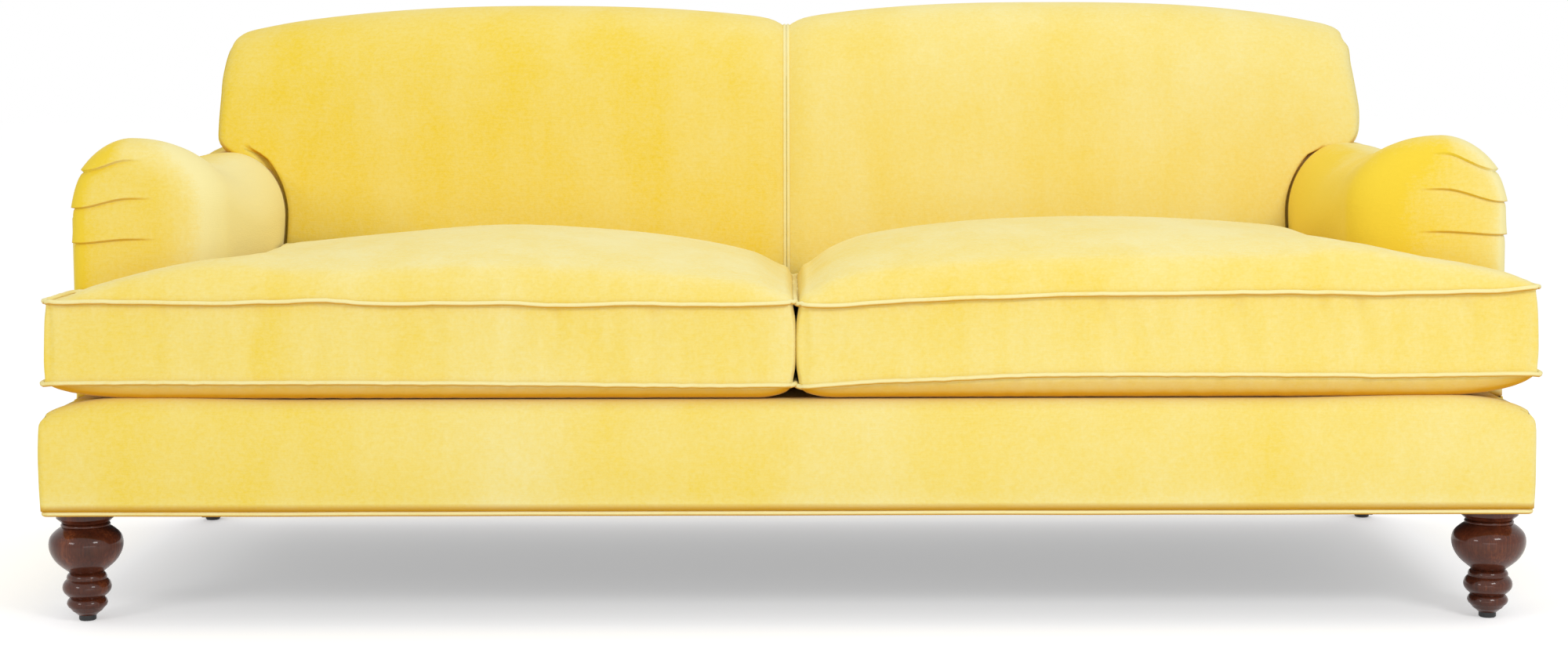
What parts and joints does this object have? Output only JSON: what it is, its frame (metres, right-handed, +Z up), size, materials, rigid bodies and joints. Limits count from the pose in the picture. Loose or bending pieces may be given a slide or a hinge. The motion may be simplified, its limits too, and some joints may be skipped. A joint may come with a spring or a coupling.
{
  "type": "sofa",
  "caption": "English roll-arm sofa in yellow velvet: tight back in two arches, loose T-shaped seat cushions with piped edges, low base and dark turned front legs.",
  "frame": {"origin": "on the floor, under the middle of the sofa's overall box", "axes": "+X towards the arm on the viewer's right, +Y towards the back, +Z up; the seat faces -Y"},
  "size_m": [2.1378, 0.9653, 0.9041],
  "materials": {
    "turned_wood": "gloss",
    "glide_nylon": "satin",
    "zinc_steel": "satin",
    "spring_steel": "satin",
    "frame_wood": "matte",
    "jute": "matte",
    "lining": "matte",
    "foam": "matte",
    "velvet": "matte",
    "velvet_piping": "matte"
  },
  "bodies": {
    "frame": {"back_liner_rail": "frame_wood", "back_rail": "frame_wood", "back_straps": "jute", "back_top_rail": "frame_wood", "base_border": "velvet", "base_welt": "velvet_piping", "centre_back_post": "frame_wood", "centre_welt": "velvet_piping", "corner_blocks": "frame_wood", "deck_cloth": "jute", "deck_pad": "foam", "dust_cover": "lining", "front_rail": "frame_wood", "hanger_bolts": "zinc_steel", "left_arm_liner": "frame_wood", "left_arm_pad": "velvet", "left_arm_rail": "frame_wood", "left_arm_stump": "frame_wood", "left_back_pad": "velvet", "left_back_post": "frame_wood", "left_end_rail": "frame_wood", "left_front_glide": "glide_nylon", "left_front_leg": "turned_wood", "left_outside_arm": "velvet", "left_rear_glide": "glide_nylon", "left_rear_leg": "turned_wood", "outside_back": "velvet", "right_arm_liner": "frame_wood", "right_arm_pad": "velvet", "right_arm_rail": "frame_wood", "right_arm_stump": "frame_wood", "right_back_pad": "velvet", "right_back_post": "frame_wood", "right_end_rail": "frame_wood", "right_front_glide": "glide_nylon", "right_front_leg": "turned_wood", "right_outside_arm": "velvet", "right_rear_glide": "glide_nylon", "right_rear_leg": "turned_wood", "seat_springs": "spring_steel", "seat_stretchers": "frame_wood", "spring_clips": "spring_steel", "spring_rail": "frame_wood", "tee_nuts": "zinc_steel"},
    "left_seat_cushion": {"left_cushion_core": "foam", "left_cushion_cover": "velvet", "left_cushion_welts": "velvet_piping"},
    "right_seat_cushion": {"right_cushion_core": "foam", "right_cushion_cover": "velvet", "right_cushion_welts": "velvet_piping"}
  },
  "joints": [
    {"name": "left_cushion_lift", "type": "slide", "parent": "frame", "child": "left_seat_cushion", "axis": [0, 0, 1], "range_m": [0, 0.4]},
    {"name": "right_cushion_lift", "type": "slide", "parent": "frame", "child": "right_seat_cushion", "axis": [0, 0, 1], "range_m": [0, 0.4]}
  ]
}
